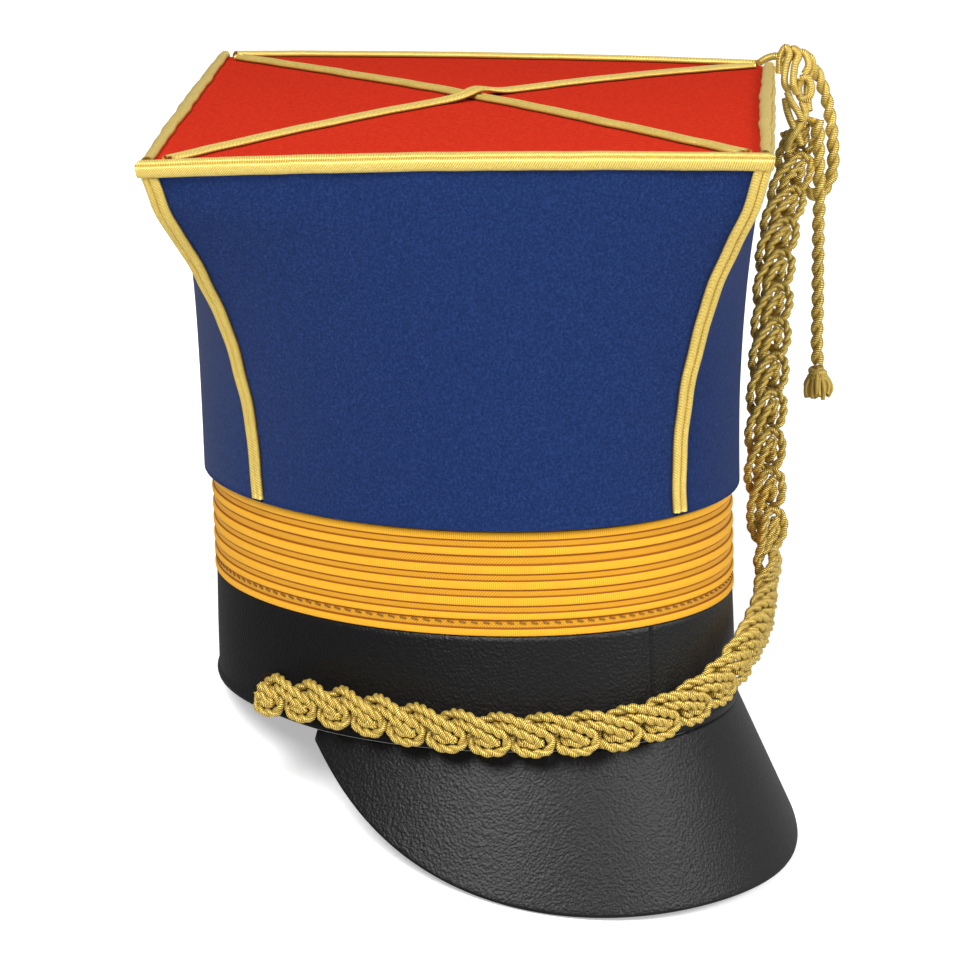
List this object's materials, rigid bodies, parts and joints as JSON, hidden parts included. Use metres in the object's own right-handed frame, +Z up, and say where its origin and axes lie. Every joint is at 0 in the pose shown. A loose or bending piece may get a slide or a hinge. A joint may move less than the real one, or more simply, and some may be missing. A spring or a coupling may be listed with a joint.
{
  "type": "square-topped shako",
  "caption": "Square-topped dress shako with leather headband and peak, ribbed braid band, flaring cloth panels, gold corner braid and a plaited cap cord, hollow for the head.",
  "frame": {"origin": "on the surface the cap rests on, under the middle of the cap without its cords", "axes": "+Z up from the surface, -Y towards the peak, +X towards the wearer's left, where the cords hang"},
  "size_m": [0.3182, 0.3268, 0.2594],
  "materials": {
    "blue_cloth": "matt fulled wool",
    "red_cloth": "matt felt",
    "yellow_braid": "ribbed satin braid",
    "gold_braid": "lustrous braid",
    "gold_cord": "lustrous twisted cord",
    "black_leather": "fine grain, half matt",
    "dark_bronze": "dulled"
  },
  "bodies": {
    "root": {"leather_headband": "black_leather", "ribbed_band": "yellow_braid", "leather_peak": "black_leather", "top_board": "red_cloth", "crown_panel_front_right": "blue_cloth", "crown_panel_rear_right": "blue_cloth", "crown_panel_rear_left": "blue_cloth", "crown_panel_front_left": "blue_cloth", "edge_braid_front_right": "gold_braid", "edge_braid_rear_right": "gold_braid", "edge_braid_rear_left": "gold_braid", "edge_braid_front_left": "gold_braid", "corner_braid_front": "gold_braid", "corner_braid_right": "gold_braid", "corner_braid_rear": "gold_braid", "corner_braid_left": "gold_braid", "diagonal_braid_front_rear": "gold_braid", "diagonal_braid_right_left": "gold_braid", "side_button": "dark_bronze", "corner_knot": "gold_cord", "plaited_cord": "gold_cord", "cord_loop": "gold_cord", "cord_tail": "gold_cord", "tail_knot": "gold_cord"}
  },
  "joints": []
}
